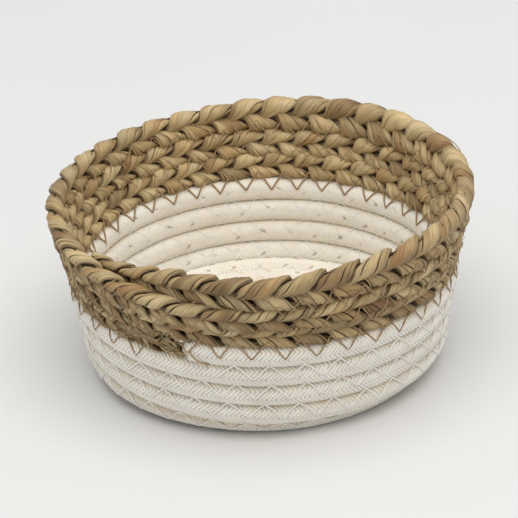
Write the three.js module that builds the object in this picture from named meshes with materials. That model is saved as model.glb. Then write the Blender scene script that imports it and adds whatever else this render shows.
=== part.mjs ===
// Round open basket: a coiled cotton rope forms the base and the lower wall, and a plait of three
// seagrass strands winds on from the rope's end and forms the upper band. Zigzag threads sew the rows.
// Millimetres, +Z up. The origin is on the resting plane, under the middle of the basket.

import * as THREE from "three";

const TURN = 2 * Math.PI;
const radians = THREE.MathUtils.degToRad;

// Driving sizes of the wall's profile
const baseFlatRadius = 69.5;
const cornerRadius = 13;
const wallLeanAtBase = 8; // degrees outward from the vertical
const wallLeanAtRim = 12.5;
const ropeWallLength = 33.5; // along the wall, from the end of the corner to the rope's end

// Driving sizes of the rope coil
const tubeSides = 6; // sides of the rope's section, and of a strand's
const ropeDiameter = 10.1;
const ropeRowGap = 0.8;
const ropeStepsPerTurn = 24;
const seamAngle = 245; // degrees round from +X, where the rope ends and the plait starts
const climbAngle = 232; // degrees round from +X, where each row climbs fastest
const climbGather = 1; // 0 climbs evenly all round, 1 keeps the rows level opposite climbAngle

// Driving sizes of the plait
const strandWidth = 4.25;
const strandThickness = 3.5;
const strandGap = 0.35; // between strands where they pass each other
const plaitRowGap = 0.5;
const plaitTurns = 3.1;
const plaitRepeatsPerTurn = 12;
const plaitStepsPerRepeat = 6;
const plaitEndTaper = 0.5; // size of the plait at its two ends, as a share of its full size
const plaitTaperTurns = 0.09;
const tuckTurns = 0.17; // length of the plait's outer end that is tucked in behind the row below
const tuckAngle = 105; // degrees that the tucked end has gone round the row below
const squeezeSector = 75; // degrees each side of the seam where the rows are squeezed together
const jointGap = 0.4; // between the rope's end and the start of the plait

// Driving sizes of the threads
const threadDiameter = 0.9;
const threadSides = 3;
const threadClearance = 0.3;
const bandStitchLength = 13.8;
const ropeStitchLength = 15;
const bandStitchReach = 4.2; // from the groove to the tip of a stitch
const ropeStitchReach = 3.6;

// Values that follow from the driving sizes
const ropePitch = ropeDiameter + ropeRowGap;
const ropeRadius = ropeDiameter / 2;
const flatness = Math.cos(Math.PI / tubeSides); // a flat side's distance over a corner's
const ropeFlat = ropeRadius * flatness;
const restCut = ropeDiameter / 10; // the underside is cut flat by a tenth of the rope
const baseHeight = ropeRadius - restCut;
const cornerTurn = Math.PI / 2 - radians(wallLeanAtBase);
const cornerLength = cornerRadius * cornerTurn;
const wallStart = baseFlatRadius + cornerLength;

// A strand swings clear of the one that runs through the middle, and lifts clear of the one it crosses
const swayDwell = 1.6; // above 1, a strand stays longer at the edge of the row
const swayPerWidth = 0.88;
const swayPerGap = 1.15;
const liftPerThickness = 0.8;
const plaitSway = swayPerWidth * strandWidth + swayPerGap * strandGap;
const plaitLift = liftPerThickness * (strandThickness + strandGap);
const plaitPitch = 2 * plaitSway + strandWidth + plaitRowGap;
const plaitHalfThickness = plaitLift + strandThickness / 2;
const plaitRows = Math.round(plaitTurns);
const threadRoom = threadDiameter + 2 * threadClearance; // for the thread behind the tucked end
const wallLength = ropeWallLength + plaitRows * plaitPitch;
const leanGrowth = (radians(wallLeanAtRim) - radians(wallLeanAtBase)) / wallLength;

// Point of the wall's profile at distance s from the middle: radius, height and slope
function profile(s) {
  if (s <= baseFlatRadius) return { r: s, z: baseHeight, slope: 0 };
  const slope = Math.min((s - baseFlatRadius) / cornerRadius, cornerTurn);
  const corner = {
    r: baseFlatRadius + cornerRadius * Math.sin(slope),
    z: baseHeight + cornerRadius * (1 - Math.cos(slope)),
    slope,
  };
  if (s <= wallStart) return corner;
  const startLean = radians(wallLeanAtBase);
  const lean = startLean + leanGrowth * (s - wallStart);
  return {
    r: corner.r + (Math.cos(startLean) - Math.cos(lean)) / leanGrowth,
    z: corner.z + (Math.sin(lean) - Math.sin(startLean)) / leanGrowth,
    slope: Math.PI / 2 - lean,
  };
}

// Ring of points about the profile at s, offset outward by n, in the upright plane at angle theta
function sectionRing({ theta, s, n = 0, halfWidth, halfDepth, sides }) {
  const { r, z, slope } = profile(s);
  const ring = [];
  for (let k = 0; k < sides; k += 1) {
    const q = (k / sides) * TURN;
    const along = halfWidth * Math.cos(q);
    const out = n + halfDepth * Math.sin(q);
    const radius = r + along * Math.cos(slope) + out * Math.sin(slope);
    const height = z + along * Math.sin(slope) - out * Math.cos(slope);
    ring.push(new THREE.Vector3(radius * Math.cos(theta), radius * Math.sin(theta), Math.max(height, 0)));
  }
  return ring;
}

// Closed tube through a list of rings, with a flat cap at each end
function tubeThroughRings(rings) {
  const sides = rings[0].length;
  const positions = rings.flat().flatMap((point) => [point.x, point.y, point.z]);
  const triangles = [];
  for (let i = 0; i < rings.length - 1; i += 1) {
    for (let k = 0; k < sides; k += 1) {
      const a = i * sides + k;
      const b = i * sides + ((k + 1) % sides);
      triangles.push(a, b, a + sides, b, b + sides, a + sides);
    }
  }
  const last = (rings.length - 1) * sides;
  for (let k = 1; k < sides - 1; k += 1) {
    triangles.push(0, k + 1, k, last, last + k, last + k + 1);
  }
  const geometry = new THREE.BufferGeometry();
  geometry.setAttribute("position", new THREE.Float32BufferAttribute(positions, 3));
  geometry.setIndex(triangles);
  return geometry;
}

// Rows climbed after a number of turns, gathered twice so that the climb is short and the rows level
function gatheredClimb(turns) {
  const ease = (x) => x + (climbGather / TURN) * Math.sin(TURN * x);
  return ease(ease(turns));
}

const climbLead = (climbAngle - seamAngle) / 360;
const ropeEnd = wallStart + ropeWallLength;

// Place of the coil, in turns before (negative) or after (positive) the seam, rising clockwise
const coilAngle = (turns) => radians(seamAngle) - TURN * turns;
const rowsClimbed = (turns) => gatheredClimb(turns + climbLead) - gatheredClimb(climbLead);
const coilPlace = (turns) => ropeEnd + ropePitch * rowsClimbed(turns);

// The rope, from its inner end beside the middle of the base to its outer end at the seam
function ropeRings() {
  const rings = [];
  const endTurns = -jointGap / 2 / (TURN * profile(ropeEnd).r);
  for (let step = 0; coilPlace(-step / ropeStepsPerTurn) > ropePitch / 2; step += 1) {
    const turns = Math.min(-step / ropeStepsPerTurn, endTurns);
    const section = { halfWidth: ropeRadius, halfDepth: ropeRadius, sides: tubeSides };
    rings.push(sectionRing({ theta: coilAngle(turns), s: coilPlace(turns), ...section }));
  }
  return rings;
}

// Width of a plait row: squeezed to the rope's pitch at the seam, where it takes the rope's place
function plaitRowWidth(turns) {
  const fromSeam = Math.abs(turns - Math.round(turns)) * 360;
  const squeeze = THREE.MathUtils.smoothstep(squeezeSector - fromSeam, 0, squeezeSector);
  return plaitPitch - (plaitPitch - ropePitch) * squeeze;
}

// Lower edge of the plait row that passes at these turns after the seam
function plaitRowBottom(turns) {
  const row = Math.floor(turns);
  return coilPlace(turns - row - 1) + ropePitch / 2 + row * plaitRowWidth(turns);
}

// Size of the plait at these turns, as a share of its full size
function plaitTaper(turns) {
  const fromEnd = Math.min(turns, plaitTurns - turns) / plaitTaperTurns;
  return plaitEndTaper + (1 - plaitEndTaper) * Math.min(Math.max(fromEnd, 0), 1);
}

// The plait's outer end goes round the row below and lies against its inner face: angle gone round
function plaitTuck(turns) {
  const fromStart = turns - (plaitTurns - tuckTurns);
  return radians(tuckAngle) * THREE.MathUtils.smoothstep(fromStart, 0, tuckTurns);
}

// Middle of the plait at these turns: place along the profile and distance out from it
function plaitMiddle(turns) {
  const width = plaitRowWidth(turns);
  const bottom = plaitRowBottom(turns);
  const tuck = plaitTuck(turns);
  const size = plaitTaper(turns);
  const untucked = bottom + (size * width) / 2;
  const rowBelow = bottom - width / 2;
  const aroundRow = (1 + size) * plaitHalfThickness + plaitRowGap + threadRoom;
  return {
    s: rowBelow + (untucked - rowBelow) * Math.cos(tuck),
    n: -aroundRow * Math.sin(tuck),
  };
}

// One strand of the plait: it swings across the row once and crosses the other two in each repeat
function strandRings(strandNumber) {
  const rings = [];
  const stepsPerTurn = plaitRepeatsPerTurn * plaitStepsPerRepeat;
  const startTurns = jointGap / 2 / (TURN * profile(ropeEnd).r);
  const steps = Math.round(plaitTurns * stepsPerTurn);
  const firstPhase = 0.5 / plaitStepsPerRepeat;
  for (let step = 0; step <= steps; step += 1) {
    const turns = Math.max(step / stepsPerTurn, startTurns);
    const phase = TURN * (firstPhase + step / plaitStepsPerRepeat + strandNumber / 3);
    const size = plaitTaper(turns);
    const width = plaitRowWidth(turns);
    const across = (size * (width - plaitRowGap)) / (plaitPitch - plaitRowGap);
    const swing = THREE.MathUtils.clamp(swayDwell * Math.sin(phase), -1, 1);
    const middle = plaitMiddle(turns);
    rings.push(
      sectionRing({
        theta: coilAngle(turns),
        s: middle.s + across * plaitSway * swing,
        n: middle.n - (size * plaitLift * Math.sin(2 * phase)) / flatness,
        halfWidth: (across * strandWidth) / 2,
        halfDepth: (size * strandThickness) / 2 / flatness,
        sides: tubeSides,
      }),
    );
  }
  return rings.reverse();
}

// A zigzag thread over a groove of the coil: tips alternate above and below the groove
function zigzagRings({ from, to, grooveAt, reach, stitchLength, side, offset }) {
  const rings = [];
  const tipsPerTurn = Math.round((2 * TURN * profile(grooveAt(to)).r) / stitchLength);
  const tips = Math.floor((to - from) * tipsPerTurn);
  const slant = Math.hypot(2 * reach, stitchLength / 2) / (stitchLength / 2);
  for (let tip = 0; tip <= tips; tip += 1) {
    const turns = from + tip / tipsPerTurn;
    const upOrDown = tip % 2 === 0 ? 1 : -1;
    rings.push(
      sectionRing({
        theta: coilAngle(turns),
        s: grooveAt(turns) + upOrDown * reach,
        n: side * offset,
        halfWidth: (threadDiameter / 2) * slant,
        halfDepth: threadDiameter / 2,
        sides: threadSides,
      }),
    );
  }
  return rings.reverse();
}

// The straight facets of the rope lie this far inside its true circle
const facetSag = profile(ropeEnd).r * (1 - Math.cos(Math.PI / ropeStepsPerTurn));
const threadStandOff = threadClearance + threadDiameter / 2;
const ropeTurnsOnWall = (ropeWallLength - ropePitch) / ropePitch;

function ropeThreadRings(side) {
  const facetAllowance = side < 0 ? facetSag : 0;
  return zigzagRings({
    from: -ropeTurnsOnWall,
    to: -threadDiameter / ropePitch,
    grooveAt: (turns) => coilPlace(turns) - ropePitch / 2,
    reach: ropeStitchReach,
    stitchLength: ropeStitchLength,
    side,
    offset: ropeFlat + facetAllowance + threadStandOff,
  });
}

function bandThreadRings(side) {
  return zigzagRings({
    from: plaitTaperTurns,
    to: plaitTurns - tuckTurns,
    grooveAt: plaitRowBottom,
    reach: bandStitchReach,
    stitchLength: bandStitchLength,
    side,
    offset: plaitHalfThickness + threadStandOff,
  });
}

// Least distance between points of a tube that lie at least half a turn apart along it
function leastGapToItself(rings, ringsPerTurn) {
  let least = Infinity;
  const apart = Math.floor(ringsPerTurn / 2);
  for (let i = 0; i < rings.length; i += 1) {
    for (let j = i + apart; j < rings.length; j += 1) {
      if (rings[i][0].distanceTo(rings[j][0]) > 2 * (ropePitch + plaitPitch)) continue;
      for (const p of rings[i]) {
        for (const q of rings[j]) least = Math.min(least, p.distanceTo(q));
      }
    }
  }
  return least;
}

function reportGap(name, rings, ringsPerTurn) {
  console.log(`${name}: least gap to itself ${leastGapToItself(rings, ringsPerTurn).toFixed(2)} mm`);
}

const cotton = new THREE.MeshStandardMaterial({ color: 0xe9e3d8, roughness: 0.95, metalness: 0 });
const whiteThread = new THREE.MeshStandardMaterial({ color: 0xf4f0e8, roughness: 0.8, metalness: 0 });
const brownThread = new THREE.MeshStandardMaterial({ color: 0x5a3d25, roughness: 0.6, metalness: 0 });
const seagrass = ["a", "b", "c"].map((letter, index) => {
  const color = [0xa08a5c, 0x94804f, 0xab9767][index];
  return { letter, material: new THREE.MeshStandardMaterial({ color, roughness: 0.65, metalness: 0 }) };
});

const basket = new THREE.Group();

function addPiece(name, rings, material) {
  const mesh = new THREE.Mesh(tubeThroughRings(rings), material);
  mesh.name = name;
  basket.add(mesh);
}

const rope = ropeRings();
reportGap("cotton_rope", rope, ropeStepsPerTurn);
addPiece("cotton_rope", rope, cotton);

seagrass.forEach(({ letter, material }, strandNumber) => {
  const rings = strandRings(strandNumber);
  reportGap(`seagrass_strand_${letter}`, rings, plaitRepeatsPerTurn * plaitStepsPerRepeat);
  addPiece(`seagrass_strand_${letter}`, rings, material);
});

addPiece("rope_thread_outside", ropeThreadRings(1), whiteThread);
addPiece("rope_thread_inside", ropeThreadRings(-1), whiteThread);
addPiece("band_thread_outside", bandThreadRings(1), brownThread);
addPiece("band_thread_inside", bandThreadRings(-1), brownThread);

export default basket;
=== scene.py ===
# Round open basket: coiled cotton rope below, a plaited seagrass band above, zigzag threads over the rows.
# Shapes are worked out in millimetres and scaled to metres when a mesh is made. A place on the basket is
# an angle theta, a distance s along the wall's profile from the middle of the base, and a distance n out of
# the profile. Places along the rope and the plait are counted in turns from the seam, where the rope ends.

import math
from collections import namedtuple

import bpy
import numpy as np
from mathutils import Matrix, Vector
from mathutils.bvhtree import BVHTree


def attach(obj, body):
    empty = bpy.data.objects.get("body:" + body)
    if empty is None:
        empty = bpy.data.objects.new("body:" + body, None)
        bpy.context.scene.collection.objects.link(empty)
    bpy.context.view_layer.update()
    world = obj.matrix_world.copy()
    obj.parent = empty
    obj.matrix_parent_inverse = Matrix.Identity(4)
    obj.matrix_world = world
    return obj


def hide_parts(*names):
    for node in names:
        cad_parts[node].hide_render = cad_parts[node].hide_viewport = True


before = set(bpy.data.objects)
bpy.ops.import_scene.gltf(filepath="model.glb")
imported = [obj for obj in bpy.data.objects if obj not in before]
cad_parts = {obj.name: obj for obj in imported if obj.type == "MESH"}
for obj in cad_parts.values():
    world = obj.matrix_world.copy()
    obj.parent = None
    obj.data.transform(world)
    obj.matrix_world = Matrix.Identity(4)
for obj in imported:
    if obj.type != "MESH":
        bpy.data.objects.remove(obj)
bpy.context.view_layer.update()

TURN = 2 * math.pi
MM = 0.001
WANDER_KNOTS = 4096

# The wall's profile
BASE_FLAT_RADIUS = 69.5
CORNER_RADIUS = 13.0
LEAN_AT_BASE = math.radians(8)
LEAN_AT_RIM = math.radians(12.5)
ROPE_WALL_LENGTH = 33.5
ROPE_PITCH = 10.9
BASE_HEIGHT = 4.04
PLAIT_PITCH = 13.035
PLAIT_ROW_GAP = 0.5
PLAIT_ROWS = 3
CORNER_TURN = math.pi / 2 - LEAN_AT_BASE
WALL_START = BASE_FLAT_RADIUS + CORNER_RADIUS * CORNER_TURN
ROPE_END = WALL_START + ROPE_WALL_LENGTH
LEAN_GROWTH = (LEAN_AT_RIM - LEAN_AT_BASE) / (ROPE_WALL_LENGTH + PLAIT_ROWS * PLAIT_PITCH)

# The coil of rope, which is split where the base turns up into the wall
SEAM_ANGLE = math.radians(245)
CLIMB_LEAD = -13 / 360
ROPE_MOST_TURNS = 12.0
ROPE_TABLE_POINTS = 60001
ROPE_INNER_PLACE = 3.0
ROPE_FIRST_TURN_PLACE = 13.6
ROPE_SPLIT_TURNS = -4.43
ROPE_HALF_WIDTH = 5.85
ROPE_HALF_DEPTH = 4.95
ROPE_SQUARENESS = 2.4
ROPE_CAP_LENGTH = 4.0
ROPE_CAP_SMALLEST = 0.02
ROPE_WIDTH_STRAY = 0.03
ROPE_DEPTH_STRAY = 0.04
ROPE_SWAY = 0.2
ROPE_LIFT = 0.25
ROPE_TWIST = 0.2

# The rope's braid: each yarn has one sunk ring and two raised ones
YARN_EVERY = 2.0
YARN_RINGS = (0.0, 0.3, 0.7)
YARN_RELIEF = (-0.36, 0.16, 0.16)
YARN_SIZES = (0.4, 1.6)
YARN_COLUMNS = 8
YARN_COLUMN_POINTS = 3
YARN_SHEAR = 2.0
YARN_SHEAR_STRAY = 0.12
YARN_STRAY = 0.25
YARN_LOW_AT_BORDER = 0.7
YARN_LOW_INSIDE = 0.5
# Painted shade on the ridges at the yarn columns' borders; over the inside the contrast is lessened and the
# grooves lightened as painted light
RIDGE_DIM_AT_BORDER = 0.4
RIDGE_DIM_INSIDE = 0.6
# Painted light: the inside of the rope is made lighter
INSIDE_PAINTED_LIGHT = 0.45
# Painted shade: the inside of the base is made darker, the inside of the wall not at all
BASE_INSIDE_PAINTED_SHADE = 0.3
WALL_INSIDE_PAINTED_SHADE = 0.0
DIMPLE_YARNS = 7
DIMPLE_DEPTHS = (0.05, 0.8)
DIMPLE_SHADE = 2.4

# The row of plait
PLAIT_TURNS = 3.1
PLAIT_REPEATS = 12
PLAIT_END_TAPER = 0.5
PLAIT_TAPER_TURNS = 0.09
PLAIT_HALF_THICKNESS = 4.83
BAND_RADIUS = 92.0
BAND_LENGTH = TURN * BAND_RADIUS
TUCK_TURNS = 0.17
TUCK_ANGLE = math.radians(105)
SQUEEZE_SECTOR = 75.0
SQUEEZE_SHARE = 0.6
ROW_SAG = 2.0
ROW_SAG_TURNS = (1.1, 1.6)
RIM_SAG_LOST = 0.3
RIM_SAG_TURNS = (2.0, 2.5)
TUCK_SAG_TURNS = 0.15
SAG_OUTWARD = 0.4
ROW_WAVER = 0.3

# Where the rim swells: the middle and the width in turns, and the share of the row's width
RIM_SWELLS = ((2.89, 0.11, 0.27), (2.54, 0.13, 0.30))

# The plait's strands and their blades
STRAND_LETTERS = "abc"
STRAND_PHASE = 1 / 12
STRAND_FIRST_TURN = 0.0003
STRAND_SWAY = 5.1
STRAND_LIFT = 2.6
STRAND_HALF_WIDTH_INSIDE = 2.3
STRAND_HALF_WIDTH = 4.75
STRAND_HALF_DEPTH = 1.65
STRAND_ROUNDNESS = 0.65
STRAND_TILT = 0.8
STRAND_POINT = 0.85
STRAND_FOLDED_THICKER = 0.3
STRAND_WIDTH_STRAY = 0.1
STRAND_DEPTH_STRAY = 0.15
STRAND_STEPS_PER_REPEAT = 44
STRAND_SEED = 100
LOOP_POINTS = 721
BLADES = 9
BLADE_FRACTIONS = (0.0, 0.1, 0.5, 0.9)
BLADE_BORDER_STRAY = 0.42
BLADE_TILT = 0.32
BLADE_STEP = 0.28
BLADE_CROWN = 0.1
CREASE_DEPTH = 0.3
CREASE_SHADE = 2.4
CREASE_SHADE_FROM = 0.25
EDGE_SHADE = 0.4
BLADE_TONE = 0.60
STRAND_TONE_SPREAD = 0.12
BLADE_TONE_SPREAD = 0.13
GREY_SHARE = 0.4
REDDISH_SHARE = 0.035
REDDISH_DARKER = 0.2
# Painted light: the plait's face inside the basket is lighter, with less painted shade
INNER_FACE_PAINTED_LIGHT = 0.14
INNER_FACE_LESS_SHADE = 0.5
FIBRE_RADIUS = 4.0
FIBRE_TURN_LENGTH = 600
CORE_HALF_WIDTH = 6.0
CORE_HALF_DEPTH = 1.1
CORE_FIRST_TURN = 0.008
CORE_LAST_TURN = PLAIT_TURNS - 0.004
CORE_STEPS = 1200
CORE_SIDES = 16

# The threads
WHITE_THREAD_RADIUS = 0.33
BROWN_THREAD_RADIUS = 0.36
BOBBIN_THREAD_RADIUS = 0.46
BOBBIN_SINK = 0.45
BAND_STITCH = 13.8
BAND_SINK = 0.15
BAND_SLACK = 0.25
ROPE_STITCH = 15.0
LOWEST_STITCH = BASE_FLAT_RADIUS + 0.73 * CORNER_RADIUS
STITCH_POINTS = 15
STITCH_DIVE = 0.3
STITCH_UNEVEN = 0.06
STITCH_REACH_STRAY = 0.08
STITCH_LEAST_ROOM = 0.15
STITCH_TABLE_POINTS = 4000
UPPER_ROW_TURNS = (0.95, 1.05)
THREAD_TWIST = 5.0
LENGTH_SIDES = 6

# Laying things on the rows: where rays start, how far they look, and the place where they meet nothing
RAY_START = 9.0
RAY_LENGTH = 12.0
ROW_OUTSIDE = 4.6
TAUT_ROUNDS = 40

# Loose blades: a row of the plait, ranges of turns and of distance above the row's lower line, and sizes
LooseBlades = namedtuple("LooseBlades", "name count seed row turns heights longest widest stand_off")
LOOSE_BLADES = (
    LooseBlades("start_blades", 120, 45, 0, (0.006, 0.05), (3.5, 12.5), 10.0, 1.7, 0.5),
    LooseBlades("frayed_start", 46, 41, 0, (0.006, 0.05), (2.5, 11.0), 10.0, 0.5, 0.9),
    LooseBlades("frayed_lower_edge", 60, 42, 0, (0.03, 0.24), (0.6, 6.0), 11.0, 0.35, 0.7),
    LooseBlades("stray_blades", 30, 43, 1, (0.3, 0.95), (-4.0, 17.0), 12.0, 0.3, 1.2),
)
LOOSE_POINTS = 10
LOOSE_HALF_DEPTH = 0.12
LOOSE_SHORTEST = 0.35
LOOSE_NARROWEST = 0.25
LOOSE_SLACK = 0.2
LOOSE_LIFT = 0.1
LOOSE_TONE = 0.5
LOOSE_TONE_SPREAD = 0.15
LOOSE_GRAIN_APART = 40

# Stitches that hold down the tucked end: where each starts and how far it bows, in turns
TIE_STARTS = (0.032, 0.046, 0.054, 0.07)
TIE_BOWS = (0.010, -0.006, 0.012, -0.008)
TIE_BELOW = 7.0
TIE_LENGTH = 16.0
TIE_SLACK = 0.3
TIE_LIFT = 0.1
TIE_POINTS = 24

# The tail of the thread, with a knot near its end
TAIL_TURN = -0.010
TAIL_SWING = -0.013
TAIL_TOP = 8.0
TAIL_LENGTH = 7.0
TAIL_LIFT = 0.4
TAIL_BOW = 0.8
TAIL_POINTS = 40
KNOT_RADIUS = 0.45
KNOT_SHARE = 0.93
KNOT_LENGTH = 0.045

# The fibre that has sprung loose from the rim
RIM_FIBRE_TURN = 2.6
RIM_FIBRE_TURNS = 0.06
RIM_FIBRE_RADIUS = 0.32
RIM_FIBRE_TOP = 1.0
RIM_FIBRE_DROP = 3.0
RIM_FIBRE_ROOT = 1.5
RIM_FIBRE_BOW = 4.5
RIM_FIBRE_POINTS = 40

# The studio and the camera, in metres
FLOOR_HALF = 4.0
LAMP_PLACE = (0.15, -0.6, 2.6)
LAMP_AIM = (0, 0, 0.04)
LAMP_SIZE = 3.0
LAMP_POWER = 61.0
LAMP_COLOR = (1.0, 0.98, 0.95)
WORLD_COLOR = (0.94, 0.97, 1.0, 1)
WORLD_STRENGTH = 0.6
CAMERA_ELEVATION = math.radians(27.05)
CAMERA_ROLL = math.radians(3.06)
CAMERA_DISTANCE = 1.08
CAMERA_TARGET = Vector((-0.00167, 0, 0.0485))
CAMERA_LENS = 158.7
CAMERA_SENSOR = 36
CAMERA_CLIP = 0.05


def smoothstep(x, low, high):
    share = np.clip((x - low) / (high - low), 0, 1)
    return share * share * (3 - 2 * share)


# Smooth random value from -1 to 1 that changes over about this length of x
def wander(x, over, seed):
    knots = np.random.default_rng(seed).uniform(-1, 1, WANDER_KNOTS)
    place_on_knots = np.asarray(x) / over
    low = np.floor(place_on_knots).astype(int)
    share = smoothstep(place_on_knots - low, 0, 1)
    return knots[low % WANDER_KNOTS] * (1 - share) + knots[(low + 1) % WANDER_KNOTS] * share


# Length run along a path up to each of its points, which lie on the axis before the last one
def run_along(path):
    steps = np.linalg.norm(np.diff(path, axis=-2), axis=-1)
    return np.concatenate([np.zeros_like(steps[..., :1]), np.cumsum(steps, axis=-1)], axis=-1)


def unit(v):
    return v / np.linalg.norm(v, axis=-1, keepdims=True)


# Radius, height and slope of the wall's profile at distance s from the middle of the base
def profile(s):
    s = np.asarray(s, float)
    slope = np.clip((s - BASE_FLAT_RADIUS) / CORNER_RADIUS, 0, CORNER_TURN)
    lean = LEAN_AT_BASE + LEAN_GROWTH * np.maximum(s - WALL_START, 0)
    radius = np.minimum(s, BASE_FLAT_RADIUS) + CORNER_RADIUS * np.sin(slope)
    radius = radius + (math.cos(LEAN_AT_BASE) - np.cos(lean)) / LEAN_GROWTH
    height = BASE_HEIGHT + CORNER_RADIUS * (1 - np.cos(slope))
    height = height + (np.sin(lean) - math.sin(LEAN_AT_BASE)) / LEAN_GROWTH
    slope = np.where(s > WALL_START, math.pi / 2 - lean, slope)
    return radius, height, slope


# Point at angle theta, by the profile at s, moved along the profile and out of it
def place(theta, s, out, along=0.0):
    radius, height, slope = profile(s)
    radius = radius + along * np.cos(slope) + out * np.sin(slope)
    height = height + along * np.sin(slope) - out * np.cos(slope)
    return np.stack([radius * np.cos(theta), radius * np.sin(theta), np.maximum(height, 0)], axis=-1)


# Unit vector out of the profile
def profile_out(theta, s):
    slope = profile(s)[2]
    level = np.sin(slope)
    return np.stack([level * np.cos(theta), level * np.sin(theta), -np.cos(slope)], axis=-1)


# The climb of a row is gathered near the seam, and the rest of the row is nearly level
def gathered_climb(turns):
    for _ in range(2):
        turns = turns + np.sin(TURN * turns) / TURN
    return turns


def coil_angle(turns):
    return SEAM_ANGLE - TURN * turns


def coil_place(turns):
    return ROPE_END + ROPE_PITCH * (gathered_climb(turns + CLIMB_LEAD) - gathered_climb(CLIMB_LEAD))


# Line between a row of rope and the row below it
def rope_groove(turns):
    return coil_place(turns) - ROPE_PITCH / 2


def plait_row_width(turns):
    from_seam = np.abs(turns - np.round(turns)) * 360
    squeeze = smoothstep(SQUEEZE_SECTOR - from_seam, 0, SQUEEZE_SECTOR)
    return PLAIT_PITCH - (PLAIT_PITCH - ROPE_PITCH) * squeeze


# Line under a row of the plait near the seam, also just before its start
def row_line(turns, row):
    return coil_place(turns - 1) + ROPE_PITCH / 2 + row * plait_row_width(turns)


def plait_row_bottom(turns):
    row = np.floor(turns)
    return row_line(turns - row, row)


def plait_taper(turns):
    from_end = np.minimum(turns, PLAIT_TURNS - turns) / PLAIT_TAPER_TURNS
    return PLAIT_END_TAPER + (1 - PLAIT_END_TAPER) * np.clip(from_end, 0, 1)


# Middle line of the plait, whose end is tucked in behind the row below
def plait_middle(turns):
    width = plait_row_width(turns)
    bottom = plait_row_bottom(turns)
    tuck = TUCK_ANGLE * smoothstep(turns - (PLAIT_TURNS - TUCK_TURNS), 0, TUCK_TURNS)
    size = plait_taper(turns)
    row_below = bottom - width / 2
    untucked = bottom + size * width / 2
    around_row = (1 + size) * PLAIT_HALF_THICKNESS - PLAIT_ROW_GAP
    return row_below + (untucked - row_below) * np.cos(tuck), -around_row * np.sin(tuck)


# One mesh of equal closed tubes: rings is (tubes, rings, points round, 3) in millimetres
def tubes(name, rings, material, attributes, sharp_columns=None):
    count, length, around = rings.shape[:3]
    index = np.arange(count * length * around).reshape(count, length, around)
    turned = np.roll(index, -1, axis=2)
    sides = np.stack([index[:, :-1], turned[:, :-1], turned[:, 1:], index[:, 1:]], axis=-1).reshape(-1, 4)
    caps = np.concatenate([index[:, 0, ::-1], index[:, -1]])
    points = rings.reshape(-1, 3)
    corner = points[sides]
    volume = np.einsum("ij,ij->", np.cross(corner[:, 0], corner[:, 1]), corner[:, 2])
    volume += np.einsum("ij,ij->", np.cross(corner[:, 0], corner[:, 2]), corner[:, 3])
    if volume < 0:
        sides = sides[:, ::-1]
        caps = caps[:, ::-1]
    corners = np.concatenate([sides.ravel(), caps.ravel()])
    cap_starts = len(sides) * 4 + np.arange(len(caps)) * around
    starts = np.concatenate([np.arange(len(sides)) * 4, cap_starts])
    mesh = bpy.data.meshes.new(name)
    mesh.vertices.add(len(points))
    mesh.vertices.foreach_set("co", (points * MM).ravel())
    mesh.loops.add(len(corners))
    mesh.loops.foreach_set("vertex_index", corners)
    mesh.polygons.add(len(starts))
    mesh.polygons.foreach_set("loop_start", starts)
    mesh.update(calc_edges=True)
    mesh.polygons.foreach_set("use_smooth", np.ones(len(starts), bool))
    if sharp_columns is not None:
        ends = np.zeros(len(mesh.edges) * 2, int)
        mesh.edges.foreach_get("vertices", ends)
        first, second = ends.reshape(-1, 2).T
        along = (first % around == second % around) & sharp_columns[first % around]
        mesh.attributes.new("sharp_edge", "BOOLEAN", "EDGE").data.foreach_set("value", along)
    for key, values in attributes.items():
        if values.ndim == 4:
            mesh.attributes.new(key, "FLOAT_VECTOR", "POINT").data.foreach_set("vector", values.ravel())
        else:
            mesh.attributes.new(key, "FLOAT", "POINT").data.foreach_set("value", values.ravel())
    mesh.materials.append(material)
    piece = bpy.data.objects.new(name, mesh)
    bpy.context.scene.collection.objects.link(piece)
    return piece


def dress(piece, slot, *nodes):
    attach(piece, "root")
    if nodes:
        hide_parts(*nodes)


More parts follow.
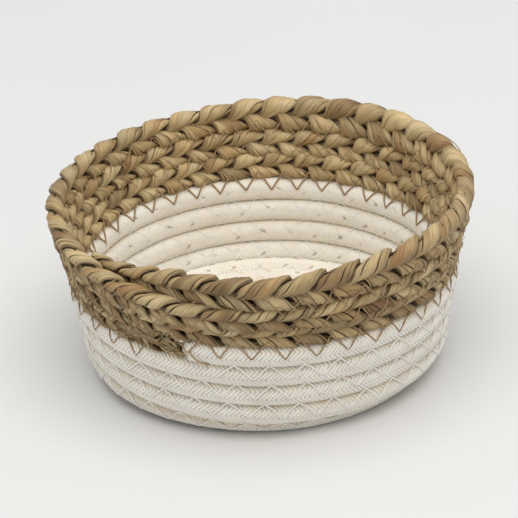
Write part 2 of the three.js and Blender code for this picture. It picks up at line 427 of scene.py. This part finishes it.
# Procedural materials
class Shader:
    WHITE = (1, 1, 1)
    MIX_FIRST = 6
    MIX_SECOND = 7
    MIX_RESULT = 2

    def __init__(self, name):
        self.material = bpy.data.materials.new(name)
        self.material.use_nodes = True
        self.tree = self.material.node_tree
        self.surface = self.tree.nodes["Principled BSDF"]

    def node(self, kind, inputs=None, **settings):
        node = self.tree.nodes.new(kind)
        for key, value in settings.items():
            setattr(node, key, value)
        for key, value in (inputs or {}).items():
            self.set(node, key, value)
        return node

    def set(self, node, key, value):
        if isinstance(value, bpy.types.NodeSocket):
            self.tree.links.new(value, node.inputs[key])
        else:
            node.inputs[key].default_value = value

    def attribute(self, name, output="Fac"):
        return self.node("ShaderNodeAttribute", attribute_name=name).outputs[output]

    def object_point(self):
        return self.node("ShaderNodeTexCoord").outputs["Object"]

    def math(self, operation, *values):
        return self.node("ShaderNodeMath", dict(enumerate(values)), operation=operation).outputs[0]

    def noise(self, vector, scale, detail, stretch=(1, 1, 1)):
        mapped = self.node("ShaderNodeMapping", {"Vector": vector, "Scale": stretch}).outputs[0]
        inputs = {"Vector": mapped, "Scale": scale, "Detail": detail}
        return self.node("ShaderNodeTexNoise", inputs).outputs["Fac"]

    def ramp(self, factor, *stops):
        node = self.node("ShaderNodeValToRGB", {"Fac": factor})
        elements = node.color_ramp.elements
        while len(elements) < len(stops):
            elements.new(0.5)
        for element, (position, color) in zip(elements, stops):
            element.position = position
            element.color = (*color, 1)
        return node.outputs["Color"]

    def mix(self, first, second, share, blend="MIX"):
        inputs = {"Factor": share, self.MIX_FIRST: first, self.MIX_SECOND: second}
        node = self.node("ShaderNodeMix", inputs, data_type="RGBA", blend_type=blend)
        return node.outputs[self.MIX_RESULT]

    def multiply(self, color, other, share):
        return self.mix(color, other, share, "MULTIPLY")

    def bump(self, height, strength, distance):
        inputs = {"Height": height, "Strength": strength, "Distance": distance}
        self.set(self.surface, "Normal", self.node("ShaderNodeBump", inputs).outputs["Normal"])

    def finish(self, **inputs):
        for key, value in inputs.items():
            self.set(self.surface, key.replace("_", " "), value)
        return self.material


def cotton_material():
    shader = Shader("braided_cotton")
    point = shader.object_point()
    lint = shader.noise(point, 1400.0, 3.0)
    blotch = shader.noise(point, 60.0, 2.0)
    # Painted shade with a little dirt: the colour is darker where the ridge level is low, in the grooves
    # between yarns, and lighter on the raised yarns
    height = shader.math("MULTIPLY_ADD", lint, 0.35, shader.attribute("ridge"))
    color = shader.ramp(
        height,
        (0.1, (0.60, 0.53, 0.43)),
        (0.55, (0.84, 0.785, 0.69)),
        (1.0, (0.90, 0.855, 0.775)),
    )
    blotches = shader.ramp(blotch, (0.3, (0.93, 0.92, 0.90)), (0.6, Shader.WHITE))
    color = shader.multiply(color, blotches, 1.0)
    # Painted shade: a warm, darker tint at the rope's borders, where rows meet, standing in for light
    # bounced in the grooves
    groove = shader.ramp(shader.attribute("groove"), (0.0, Shader.WHITE), (1.0, (0.95, 0.885, 0.79)))
    color = shader.multiply(color, groove, 1.0)
    shader.bump(lint, 0.5, 0.0003)
    shader.finish(Subsurface_Weight=0.35, Subsurface_Radius=(1.0, 0.7, 0.45), Subsurface_Scale=0.004)
    return shader.finish(Base_Color=color, Roughness=0.95, Specular_IOR_Level=0.15, Sheen_Weight=0.25)


def seagrass_material():
    shader = Shader("dried_seagrass")
    fibre = shader.attribute("fibre", "Vector")
    streak = shader.noise(fibre, 1.0, 3.0, (2.6, 2.6, 0.05))
    fine = shader.noise(fibre, 1.0, 2.0, (7.0, 7.0, 0.12))
    patch = shader.noise(fibre, 1.0, 2.0, (0.35, 0.35, 0.10))
    tone = shader.math("ADD", shader.attribute("tone"), -0.15)
    patchy = shader.math("MULTIPLY_ADD", patch, 0.3, tone)
    level = shader.math("MULTIPLY_ADD", streak, 0.5, shader.math("ADD", patchy, -0.25))
    warm = shader.ramp(
        level,
        (0.00, (0.11, 0.052, 0.020)),
        (0.20, (0.27, 0.135, 0.050)),
        (0.45, (0.43, 0.265, 0.110)),
        (0.70, (0.56, 0.375, 0.165)),
        (1.00, (0.71, 0.520, 0.260)),
    )
    grey = shader.ramp(
        level,
        (0.00, (0.10, 0.070, 0.032)),
        (0.30, (0.27, 0.205, 0.105)),
        (0.60, (0.44, 0.350, 0.190)),
        (1.00, (0.63, 0.520, 0.300)),
    )
    color = shader.mix(warm, grey, shader.attribute("hue"))
    dark = shader.ramp(fine, (0.30, (0.40, 0.34, 0.28)), (0.47, Shader.WHITE))
    color = shader.multiply(color, dark, 0.85)
    # Painted shade: dark in the creases between blades and along the strands' edges, by the crease level
    crease = shader.ramp(shader.attribute("crease"), (0.05, Shader.WHITE), (0.5, (0.08, 0.05, 0.03)))
    color = shader.multiply(color, crease, 0.95)
    shader.bump(shader.math("ADD", streak, fine), 0.8, 0.0005)
    return shader.finish(Base_Color=color, Roughness=0.5, Specular_IOR_Level=0.4)


def thread_material(name, light, dark, roughness):
    shader = Shader(name)
    wave = shader.math("SINE", shader.attribute("twist"))
    level = shader.math("MULTIPLY_ADD", wave, 0.5, 0.5)
    color = shader.ramp(level, (0.0, dark), (0.6, light))
    shader.bump(level, 0.6, 0.0002)
    return shader.finish(Base_Color=color, Roughness=roughness, Specular_IOR_Level=0.25)


def floor_material():
    shader = Shader("pale_floor")
    clouds = shader.noise(shader.object_point(), 3.0, 2.0)
    color = shader.ramp(clouds, (0.2, (0.71, 0.705, 0.695)), (0.8, (0.74, 0.735, 0.725)))
    return shader.finish(Base_Color=color, Roughness=0.6, Specular_IOR_Level=0.3)


COTTON = cotton_material()
SEAGRASS = seagrass_material()
WHITE_THREAD = thread_material("white_thread", (0.96, 0.93, 0.87), (0.86, 0.82, 0.74), 0.8)
BROWN_THREAD = thread_material("brown_thread", (0.42, 0.285, 0.150), (0.29, 0.188, 0.095), 0.6)


# The turns of the rope's middle line from its inner end, and the length run along it up to each
def rope_length_table():
    turns = np.linspace(-ROPE_MOST_TURNS, 0.0, ROPE_TABLE_POINTS)
    turns = turns[coil_place(turns) >= ROPE_INNER_PLACE]
    return turns, run_along(place(coil_angle(turns), coil_place(turns), 0.0))


ROPE_TURNS, ROPE_LENGTHS = rope_length_table()


# Points of the rope at lengths along it and at angles round it, raised by the relief of its braid. Its ends
# are rounded off. The inner side of its first turn reaches to the middle of the base and closes it.
def rope_points(length, round_angle, relief):
    turns = np.interp(length, ROPE_LENGTHS, ROPE_TURNS)
    s = coil_place(turns)
    from_end = np.minimum(length, ROPE_LENGTHS[-1] - length)
    into_cap = 1 - np.clip(from_end / ROPE_CAP_LENGTH, 0, 1)
    cap = np.sqrt(np.clip(1 - into_cap ** 2, ROPE_CAP_SMALLEST, 1))
    half_width = ROPE_HALF_WIDTH * (1 + ROPE_WIDTH_STRAY * wander(length, over=22, seed=1)) * cap
    half_depth = ROPE_HALF_DEPTH * (1 + ROPE_DEPTH_STRAY * wander(length, over=17, seed=2)) * cap
    along = np.cos(round_angle)
    out = np.sin(round_angle)
    first_turn = np.clip(2.0 * (ROPE_FIRST_TURN_PLACE - s), 0, 1)
    to_middle = np.maximum(half_width, first_turn * s * cap)
    half_width = np.where(along < 0, to_middle, half_width)
    power = ROPE_SQUARENESS
    reach = (np.abs(along / half_width) ** power + np.abs(out / half_depth) ** power) ** (-1 / power)
    reach = reach + relief * cap
    sway = ROPE_SWAY * wander(length, over=31, seed=3)
    lift = ROPE_LIFT * wander(length, over=27, seed=4)
    return place(coil_angle(turns), s, reach * out + lift, reach * along + sway)


# A length of rope. Its rings are chevrons that follow the braid, so that each set of rings is one visible
# yarn. The side that faces inside is smoother, and there a needle mark is pressed in at every few yarns.
def rope_piece(name, start, end, inside_painted_shade):
    around = YARN_COLUMNS * YARN_COLUMN_POINTS
    yarns = int((end - start) / YARN_EVERY)
    yarn = np.arange(yarns)[:, None]
    ring = (yarn + np.array(YARN_RINGS)).reshape(-1, 1) / yarns
    point = np.arange(around)[None, :]
    round_angle = point * TURN / around

    column = point / YARN_COLUMN_POINTS
    from_apex = np.abs((column / 2 + 0.5) % 1 - 0.5)
    braid = 1000 * ring
    shear = YARN_SHEAR * (1 - 4 * from_apex) * (1 + YARN_SHEAR_STRAY * wander(braid, over=11, seed=7))
    shear = shear + YARN_STRAY * wander(braid + 7 * column, over=3, seed=8)
    length = np.clip(start + (end - start) * ring + shear, start, end)
    length[0] = start
    length[-1] = end

    inside = smoothstep(-np.sin(round_angle), -0.1, 0.5)
    depth = np.random.default_rng(9).uniform(*DIMPLE_DEPTHS, yarns)[:, None]
    stray = np.random.default_rng(10).integers(-1, 2, yarns)[:, None]
    dimple = depth * (yarn % DIMPLE_YARNS == 0) * (point == around * 3 // 4 + stray)
    dimple = dimple.repeat(len(YARN_RINGS), axis=0)

    relief = np.tile(YARN_RELIEF, yarns)[:, None]
    on_border = (point % YARN_COLUMN_POINTS == 0) * 1.0
    on_ridge = (relief > 0) * 1.0
    size = np.random.default_rng(5).uniform(*YARN_SIZES, (len(ring), around))
    relief = relief * size * (1 - YARN_LOW_AT_BORDER * on_border * on_ridge)
    relief = relief * (1 - YARN_LOW_INSIDE * inside) - dimple
    twist = ROPE_TWIST * wander(length, over=55, seed=6)
    points = rope_points(length, round_angle + twist, relief)

    # The ridge level paints light and shade into the colour: painted shade in the grooves between yarns, on
    # the column borders and in the needle marks, painted light over the inside, and painted shade over the
    # inside of the base
    ridge = on_ridge * (1 - RIDGE_DIM_AT_BORDER * on_border) * (1 - RIDGE_DIM_INSIDE * inside)
    ridge = ridge + (INSIDE_PAINTED_LIGHT - inside_painted_shade) * inside - DIMPLE_SHADE * dimple
    # Mask of the rope's borders, which the cotton tints as painted shade
    groove = smoothstep(np.abs(np.cos(round_angle)), 0.6, 1.0).repeat(len(ring), axis=0)
    return tubes(name, points[None], COTTON, {"ridge": ridge[None], "groove": groove[None]})


ROPE_SPLIT = float(np.interp(ROPE_SPLIT_TURNS, ROPE_TURNS, ROPE_LENGTHS))
rope_base = rope_piece("rope_base", 0.0, ROPE_SPLIT, BASE_INSIDE_PAINTED_SHADE)
rope_wall = rope_piece("rope_wall", ROPE_SPLIT, ROPE_LENGTHS[-1], WALL_INSIDE_PAINTED_SHADE)


# A strand of the plait is a flat bundle of blades. Across the row its way is a figure of eight: out over an
# edge, down the face, through the middle and round the other edge. Its length is worked out once.
def strand_loop():
    phase = np.linspace(0, TURN, LOOP_POINTS)
    way = np.stack([STRAND_SWAY * np.sin(phase), -STRAND_LIFT * np.sin(2 * phase)], axis=-1)
    return phase, run_along(way)


LOOP_PHASES, LOOP_LENGTHS = strand_loop()
LOOP = LOOP_LENGTHS[-1]
STRAND_SLOPE = math.atan2(LOOP, BAND_LENGTH / PLAIT_REPEATS)


# Size, narrowing and middle line of the plait as sewn: it wavers, the second row sags over the first, and
# the rim swells in places
def sewn_line(turns):
    size = plait_taper(turns)
    squeezed = (plait_row_width(turns) - PLAIT_ROW_GAP) / (PLAIT_PITCH - PLAIT_ROW_GAP)
    narrow = size * (1 - SQUEEZE_SHARE + SQUEEZE_SHARE * squeezed)
    middle_s, middle_n = plait_middle(turns)
    sag = ROW_SAG * smoothstep(turns, *ROW_SAG_TURNS)
    sag = sag * (1 - RIM_SAG_LOST * smoothstep(turns, *RIM_SAG_TURNS))
    sag = sag * smoothstep(PLAIT_TURNS - turns, 0, TUCK_SAG_TURNS)
    swell = 0.0
    for middle, width, share in RIM_SWELLS:
        swell = swell + share * np.exp(-(((turns - middle) / width) ** 2))
    run = turns * BAND_LENGTH
    middle_s = middle_s - sag + swell * PLAIT_PITCH / 2 + ROW_WAVER * wander(run, over=23, seed=11)
    middle_n = middle_n + SAG_OUTWARD * sag + ROW_WAVER * wander(run, over=29, seed=12)
    return size, narrow * (1 + swell), middle_s, middle_n


# Repeats of the figure of eight that a strand has made after so many turns
def strand_repeat(strand, turns):
    return STRAND_PHASE + PLAIT_REPEATS * turns + strand / len(STRAND_LETTERS)


# Points of a strand, given across its width and out of its face. The fold at an edge is a line along the
# row, which rises to a point at the leaf's border.
def strand_points(strand, turns, across, outward):
    length = LOOP * strand_repeat(strand, turns)[:, None] + across * math.cos(STRAND_SLOPE)
    turns = turns[:, None] - across * math.sin(STRAND_SLOPE) / BAND_LENGTH
    turns = np.clip(turns, STRAND_FIRST_TURN, PLAIT_TURNS)
    phase = np.interp(length % LOOP, LOOP_LENGTHS, LOOP_PHASES)
    along_s = STRAND_SWAY * np.cos(phase)
    along_n = -2 * STRAND_LIFT * np.cos(2 * phase)
    pace = np.hypot(along_s, along_n)
    size, narrow, middle_s, middle_n = sewn_line(turns)
    point = STRAND_POINT * across / STRAND_HALF_WIDTH * np.sin(phase) * np.abs(np.sin(phase))
    s = middle_s + narrow * (STRAND_SWAY * np.sin(phase) + outward * along_n / pace + point)
    n = middle_n + size * (-STRAND_LIFT * np.sin(2 * phase) - outward * along_s / pace)
    return place(coil_angle(turns), s, n)


# How light and how grey each blade of a strand is between one fold and the next
def blade_colors(strand, segments):
    random = np.random.default_rng(STRAND_SEED + strand)
    tones = random.normal(BLADE_TONE, STRAND_TONE_SPREAD, (segments, 1))
    tones = tones + random.normal(0, BLADE_TONE_SPREAD, (segments, BLADES))
    hues = GREY_SHARE * random.uniform(0, 1, (segments, 1))
    hues = hues + GREY_SHARE * random.uniform(0, 1, (segments, BLADES))
    reddish = random.uniform(0, 1, tones.shape) < REDDISH_SHARE
    tones[reddish] -= REDDISH_DARKER
    hues[reddish] = 0
    return tones, hues


# Angle round the strand, relief and crease at the points of all its blades. A blade's first point is the
# crease at its border, and the others are its own face.
def blade_sections(strand, run):
    def stray(over, seed):
        first = seed + 20 * strand
        return np.stack([wander(run, over, first + blade) for blade in range(BLADES)], axis=-1)

    fraction = np.array(BLADE_FRACTIONS)
    from_middle = 2 * fraction - 1
    borders = (np.arange(BLADES) + BLADE_BORDER_STRAY * stray(over=19, seed=200)) * TURN / BLADES
    widths = np.diff(borders, axis=1, append=borders[:, :1] + TURN)
    round_angle = borders[..., None] + fraction * widths[..., None]
    tilt = BLADE_TILT * stray(over=9, seed=300)[..., None]
    step_up = BLADE_STEP * stray(over=11, seed=400)[..., None]
    depth = CREASE_DEPTH * (1 + stray(over=15, seed=600))
    relief = BLADE_CROWN * (1 - from_middle ** 2) + step_up + tilt * from_middle
    relief[..., 0] = -depth
    # Painted shade at each blade's crease, stronger where the crease is deeper
    crease = np.zeros_like(relief)
    crease[..., 0] = np.clip(CREASE_SHADE * depth - CREASE_SHADE_FROM, 0, 1)
    return [values.reshape(len(run), -1) for values in (round_angle, relief, crease)]


# Places in the grain of the blades, which runs along them
def fibre_places(round_angle, run, radius, first=0.0):
    x = first + radius * np.cos(round_angle)
    y = radius * np.sin(round_angle)
    return np.stack(np.broadcast_arrays(x, y, run), axis=-1)


def blade_values(tone, hue, crease, fibre):
    values = {"tone": tone, "hue": hue, "crease": crease}
    values = {key: np.broadcast_to(value, fibre.shape[:-1]) for key, value in values.items()}
    return {**values, "fibre": fibre}


def strand_piece(strand, letter):
    steps = int(PLAIT_TURNS * PLAIT_REPEATS * STRAND_STEPS_PER_REPEAT)
    turns = np.linspace(STRAND_FIRST_TURN, PLAIT_TURNS, steps + 1)
    phase = TURN * strand_repeat(strand, turns)
    run = turns * FIBRE_TURN_LENGTH
    q, relief, crease = blade_sections(strand, run)

    opened = smoothstep(np.abs(np.sin(phase)), 0.0, 0.6)
    half_width = STRAND_HALF_WIDTH_INSIDE + (STRAND_HALF_WIDTH - STRAND_HALF_WIDTH_INSIDE) * opened
    half_width = half_width * (1 + STRAND_WIDTH_STRAY * wander(run, over=13, seed=500 + strand))
    half_depth = STRAND_HALF_DEPTH * (1 + STRAND_FOLDED_THICKER * (1 - opened))
    half_depth = half_depth * (1 + STRAND_DEPTH_STRAY * wander(run, over=17, seed=540 + strand))
    half_width = half_width[:, None]
    half_depth = half_depth[:, None]
    across = half_width * np.cos(q)
    outward = half_depth * np.sign(np.sin(q)) * np.abs(np.sin(q)) ** STRAND_ROUNDNESS
    outward = outward + STRAND_TILT * np.sin(phase)[:, None] * np.cos(q)
    lean_across = half_depth * np.cos(q)
    lean_outward = half_width * np.sin(q)
    raised = relief / np.hypot(lean_across, lean_outward)
    points = strand_points(strand, turns, across + raised * lean_across, outward + raised * lean_outward)

    half_turn = np.floor(phase / math.pi).astype(int)
    tones, hues = blade_colors(strand, half_turn.max() + 2)
    # Painted light on the face turned inside the basket: a lighter tone and less painted shade in its
    # creases; the strand's edges otherwise get painted shade
    inner_face = smoothstep(np.sin(2 * phase), -0.3, 0.5)[:, None]
    tone = tones[half_turn].repeat(len(BLADE_FRACTIONS), axis=1) + INNER_FACE_PAINTED_LIGHT * inner_face
    hue = hues[half_turn].repeat(len(BLADE_FRACTIONS), axis=1)
    crease = (crease + EDGE_SHADE * np.abs(np.cos(q)) ** 8) * (1 - INNER_FACE_LESS_SHADE * inner_face)
    fibre = fibre_places(q, run[:, None], FIBRE_RADIUS)
    values = blade_values(tone[None], hue[None], crease[None], fibre[None])
    sharp = np.tile([True, False, False, False], BLADES)
    return tubes("plait_strand_" + letter, points[None], SEAGRASS, values, sharp)


strands = [strand_piece(number, letter) for number, letter in enumerate(STRAND_LETTERS)]


# The innermost blades of the plait, seen only as the dark behind its openings and given a dark colour as
# painted shade.
# At the tapered start they spread to the full width of the row.
def core_piece():
    turns = np.linspace(CORE_FIRST_TURN, CORE_LAST_TURN, CORE_STEPS)[:, None]
    size, narrow, middle_s, middle_n = sewn_line(turns)
    spread = 0.5 * plait_row_width(turns) * (1 - size) * (turns < 1)
    q = np.arange(CORE_SIDES) * TURN / CORE_SIDES
    s = middle_s + spread + (narrow * CORE_HALF_WIDTH + spread) * np.cos(q)
    n = middle_n + size * CORE_HALF_DEPTH * np.sin(q)
    points = place(coil_angle(turns), s, n)
    fibre = fibre_places(q, FIBRE_TURN_LENGTH * turns, FIBRE_RADIUS)
    # A low tone and a crease level paint them dark, as shade
    values = blade_values(tone=0.3, hue=0.3, crease=0.5, fibre=fibre[None])
    return tubes("plait_inner_blades", points[None], SEAGRASS, values)


core = core_piece()


# Surface of the rows, for laying the threads on
def surface_tree(pieces):
    points = []
    faces = []
    for piece in pieces:
        first = len(points)
        points.extend(v.co for v in piece.data.vertices)
        faces.extend([first + i for i in f.vertices] for f in piece.data.polygons)
    return BVHTree.FromPolygons(points, faces)


ROWS = surface_tree([rope_base, rope_wall, *strands])


# Distance from the profile to the rows' surface on one side, found by rays from that side
def row_surface(theta, s, side):
    starts = place(theta, s, side * RAY_START) * MM
    inward = -side * profile_out(theta, s)
    found = np.full(theta.shape, ROW_OUTSIDE)
    for index in np.ndindex(theta.shape):
        distance = ROWS.ray_cast(Vector(starts[index]), Vector(inward[index]), RAY_LENGTH * MM)[3]
        if distance is not None:
            found[index] = RAY_START - distance / MM
    return found


# Distance from the profile for something laid over the rows, which bridges the grooves between them
def laid_over_rows(theta, s, side, slack):
    surface = row_surface(theta, s, side)
    taut = surface.copy()
    for _ in range(TAUT_ROUNDS):
        between = 0.5 * (taut[:, :-2] + taut[:, 2:])
        taut[:, 1:-1] = np.maximum(surface[:, 1:-1], between)
    return (1 - slack) * taut + slack * surface


# Thin lengths of thread or blade along paths of points; a flat one lies with its face out of the wall
def lengths_piece(name, material, paths, out, half_width, half_depth, attributes):
    tangent = unit(np.gradient(paths, axis=1))
    sideways = unit(np.cross(tangent, out))
    lifted = np.cross(sideways, tangent)
    q = np.arange(LENGTH_SIDES) * TURN / LENGTH_SIDES
    wide = half_width[..., None, None] * np.cos(q)[:, None] * sideways[:, :, None]
    deep = half_depth[..., None, None] * np.sin(q)[:, None] * lifted[:, :, None]
    return tubes(name, paths[:, :, None] + wide + deep, material, attributes)


def thread_piece(name, material, theta, s, n, radius):
    paths = place(theta, s, n)
    radius = np.broadcast_to(radius, paths.shape[:2])
    round_angle = np.arange(LENGTH_SIDES) * TURN / LENGTH_SIDES
    twist = THREAD_TWIST * run_along(paths)[:, :, None] + 2 * round_angle
    return lengths_piece(name, material, paths, profile_out(theta, s), radius, radius, {"twist": twist})


# A zigzag follows a line from one turn to another, and reaches above and below it. A side says how thick
# the brown thread is there, how much deeper it lies on the upper rows, and how deep and how slack the white
# thread lies.
Zigzag = namedtuple("Zigzag", "line stitch first last above below lowest")
BAND_ZIGZAG = Zigzag(plait_row_bottom, BAND_STITCH, first=0.03, last=2.93, above=4.6, below=5.0, lowest=0)
WALL_ZIGZAG = Zigzag(
    rope_groove, ROPE_STITCH, first=-3.9, last=-0.02, above=2.2, below=5.0, lowest=LOWEST_STITCH
)
BASE_ZIGZAG = Zigzag(rope_groove, ROPE_STITCH, first=-9.7, last=-4.5, above=3.6, below=3.6, lowest=0)
Side = namedtuple("Side", "word sign band_radius upper_sink sink slack")
SIDES = (
    Side("outside", 1, BROWN_THREAD_RADIUS, upper_sink=0.0, sink=-0.1, slack=0.25),
    Side("inside", -1, BOBBIN_THREAD_RADIUS, BOBBIN_SINK, sink=0.3, slack=0.8),
)


# A zigzag thread that lies on the rows and dives in at each tip. Near its lowest place it is drawn up.
def zigzag_piece(name, material, radius, zigzag, side, sink, slack):
    table = np.linspace(zigzag.first, zigzag.last, STITCH_TABLE_POINTS)
    speed = TURN * profile(zigzag.line(table))[0] * (table[1] - table[0])
    run = np.cumsum(speed) - speed[0]
    legs = int(2 * run[-1] / zigzag.stitch)
    share = np.linspace(0, 1, STITCH_POINTS)[None, :]
    leg = np.arange(legs)[:, None]
    height = zigzag.above + zigzag.below
    across = np.where(leg % 2 == 0, zigzag.above - height * share, height * share - zigzag.below)
    tip = wander(np.arange(legs + 1), over=0.9, seed=31)
    uneven = STITCH_UNEVEN * (tip[leg] * (1 - share) + tip[leg + 1] * share)
    turns = np.interp((leg + share + uneven) * zigzag.stitch / 2, run, table)
    groove = np.maximum(zigzag.line(turns), zigzag.lowest)
    room = np.clip((groove - zigzag.lowest) / zigzag.below, STITCH_LEAST_ROOM, 1)
    s = groove + across * np.where(across < 0, room, 1) * (1 + STITCH_REACH_STRAY * tip[leg])
    theta = coil_angle(turns)
    n = laid_over_rows(theta, s, side.sign, slack) + 0.5 * radius - sink
    n = n - STITCH_DIVE * np.clip(1 - 20 * np.minimum(share, 1 - share), 0, 1)
    n = n - side.upper_sink * smoothstep(turns, *UPPER_ROW_TURNS)
    return thread_piece(name, material, theta, s, side.sign * n, radius)


def stitch_side(side):
    brown = (BROWN_THREAD, side.band_radius)
    white = (WHITE_THREAD, WHITE_THREAD_RADIUS)
    band = zigzag_piece("band_stitches_" + side.word, *brown, BAND_ZIGZAG, side, BAND_SINK, BAND_SLACK)
    wall = zigzag_piece("wall_stitches_" + side.word, *white, WALL_ZIGZAG, side, side.sink, side.slack)
    base = zigzag_piece("base_stitches_" + side.word, *white, BASE_ZIGZAG, side, side.sink, side.slack)
    dress(band, "brown_thread", "band_thread_" + side.word)
    dress(wall, "white_thread", "rope_thread_" + side.word)
    dress(base, "white_thread")


# Loose and broken blades that lie along a row with one end free
def loose_blades(blades):
    random = np.random.default_rng(blades.seed)
    each = (blades.count, 1)
    share = np.linspace(0, 1, LOOSE_POINTS)[None, :]
    length = blades.longest * random.uniform(LOOSE_SHORTEST, 1, each)
    heading = random.choice([-1, 1], each)
    slope = random.normal(0, 0.4, each) + random.normal(0, 0.6, each) * share
    along = np.cumsum(np.cos(slope), axis=1) * length / LOOSE_POINTS
    rise = np.cumsum(np.sin(slope), axis=1) * length / LOOSE_POINTS
    turns = random.uniform(*blades.turns, each) + heading * along / BAND_LENGTH
    s = row_line(turns, blades.row) + random.uniform(*blades.heights, each) + rise
    theta = coil_angle(turns)
    lift = LOOSE_LIFT + blades.stand_off * random.uniform(0, 1, each) * share ** 2
    path = place(theta, s, laid_over_rows(theta, s, 1, LOOSE_SLACK) + lift)
    half_width = blades.widest * random.uniform(LOOSE_NARROWEST, 1, each)
    half_width = half_width * np.sqrt(np.clip(1.05 - share, 0, 1))
    half_depth = np.full(half_width.shape, LOOSE_HALF_DEPTH)
    tone = random.normal(LOOSE_TONE, LOOSE_TONE_SPREAD, (*each, 1))
    hue = random.uniform(0, 1, (*each, 1))
    round_angle = np.arange(LENGTH_SIDES) * TURN / LENGTH_SIDES
    first = LOOSE_GRAIN_APART * np.arange(blades.count)[:, None, None]
    fibre = fibre_places(round_angle, (length * share)[:, :, None], 1.0, first)
    values = blade_values(tone, hue, 0.0, fibre)
    out = profile_out(theta, s)
    return lengths_piece(blades.name, SEAGRASS, path, out, half_width, half_depth, values)


# Long stitches that hold down the tucked end
def tie_stitches():
    share = np.linspace(0, 1, TIE_POINTS)[None, :]
    turns = np.array(TIE_STARTS)[:, None] + np.array(TIE_BOWS)[:, None] * np.sin(math.pi * share)
    s = row_line(turns, 2) - TIE_BELOW + TIE_LENGTH * share
    theta = coil_angle(turns)
    n = laid_over_rows(theta, s, 1, TIE_SLACK) + TIE_LIFT
    return thread_piece("tie_stitches", BROWN_THREAD, theta, s, n, BROWN_THREAD_RADIUS)


# The tail of the thread, which hangs at the start of the plait
def thread_tail():
    share = np.linspace(0, 1, TAIL_POINTS)[None, :]
    turns = TAIL_TURN + TAIL_SWING * share ** 1.7
    s = row_line(turns, 0) + TAIL_TOP - TAIL_LENGTH * share
    theta = coil_angle(turns)
    n = laid_over_rows(theta, s, 1, slack=0.0) + TAIL_LIFT + TAIL_BOW * np.sin(math.pi * share)
    radius = BROWN_THREAD_RADIUS + KNOT_RADIUS * np.exp(-((share - KNOT_SHARE) / KNOT_LENGTH) ** 2)
    return thread_piece("thread_tail", BROWN_THREAD, theta, s, n, radius)


# A long fibre that has sprung loose from the rim at the right of the back
def rim_fibre():
    share = np.linspace(0, 1, RIM_FIBRE_POINTS)[None, :]
    turns = RIM_FIBRE_TURN + RIM_FIBRE_TURNS * share
    s = plait_row_bottom(turns) + plait_row_width(turns) + RIM_FIBRE_TOP - RIM_FIBRE_DROP * share
    n = RIM_FIBRE_ROOT + RIM_FIBRE_BOW * np.sin(math.pi * share ** 0.8)
    radius = RIM_FIBRE_RADIUS * (1 - 0.6 * share)
    return thread_piece("rim_fibre", BROWN_THREAD, coil_angle(turns), s, n, radius)


for side in SIDES:
    stitch_side(side)
for blades in LOOSE_BLADES:
    dress(loose_blades(blades), "seagrass")
dress(rim_fibre(), "brown_thread")
dress(tie_stitches(), "brown_thread")
dress(thread_tail(), "brown_thread")
dress(rope_base, "cotton_rope", "cotton_rope")
dress(rope_wall, "cotton_rope", "cotton_rope")
for strand, letter in zip(strands, STRAND_LETTERS):
    dress(strand, "seagrass", "seagrass_strand_" + letter)
dress(core, "seagrass")


# Pale floor and soft light from above the front
def floor():
    mesh = bpy.data.meshes.new("floor")
    corners = [(-1, -1), (1, -1), (1, 1), (-1, 1)]
    mesh.from_pydata([(x * FLOOR_HALF, y * FLOOR_HALF, 0) for x, y in corners], [], [(0, 1, 2, 3)])
    mesh.materials.append(floor_material())
    piece = bpy.data.objects.new("floor", mesh)
    bpy.context.scene.collection.objects.link(piece)


def lamp():
    data = bpy.data.lights.new("window", "AREA")
    data.shape = "DISK"
    data.size = LAMP_SIZE
    data.energy = LAMP_POWER
    data.color = LAMP_COLOR
    light = bpy.data.objects.new("window", data)
    light.location = LAMP_PLACE
    light.rotation_euler = (Vector(LAMP_AIM) - Vector(LAMP_PLACE)).to_track_quat("-Z", "Y").to_euler()
    bpy.context.scene.collection.objects.link(light)


def surroundings():
    world = bpy.data.worlds.new("studio")
    world.use_nodes = True
    background = world.node_tree.nodes["Background"]
    background.inputs["Color"].default_value = WORLD_COLOR
    background.inputs["Strength"].default_value = WORLD_STRENGTH
    bpy.context.scene.world = world


# Camera at the photograph's angle
def camera():
    forward = Vector((0, math.cos(CAMERA_ELEVATION), -math.sin(CAMERA_ELEVATION)))
    right = Vector((1, 0, 0))
    upward = right.cross(forward)
    cos_roll = math.cos(CAMERA_ROLL)
    sin_roll = math.sin(CAMERA_ROLL)
    x_axis = cos_roll * right - sin_roll * upward
    y_axis = sin_roll * right + cos_roll * upward
    data = bpy.data.cameras.new("camera")
    data.sensor_width = CAMERA_SENSOR
    data.lens = CAMERA_LENS
    data.clip_start = CAMERA_CLIP
    eye = bpy.data.objects.new("camera", data)
    axes = Matrix((x_axis, y_axis, -forward)).transposed().to_4x4()
    eye.matrix_world = Matrix.Translation(CAMERA_TARGET - forward * CAMERA_DISTANCE) @ axes
    bpy.context.scene.collection.objects.link(eye)
    bpy.context.scene.camera = eye


floor()
lamp()
surroundings()
camera()
bpy.context.scene.view_settings.view_transform = "Standard"
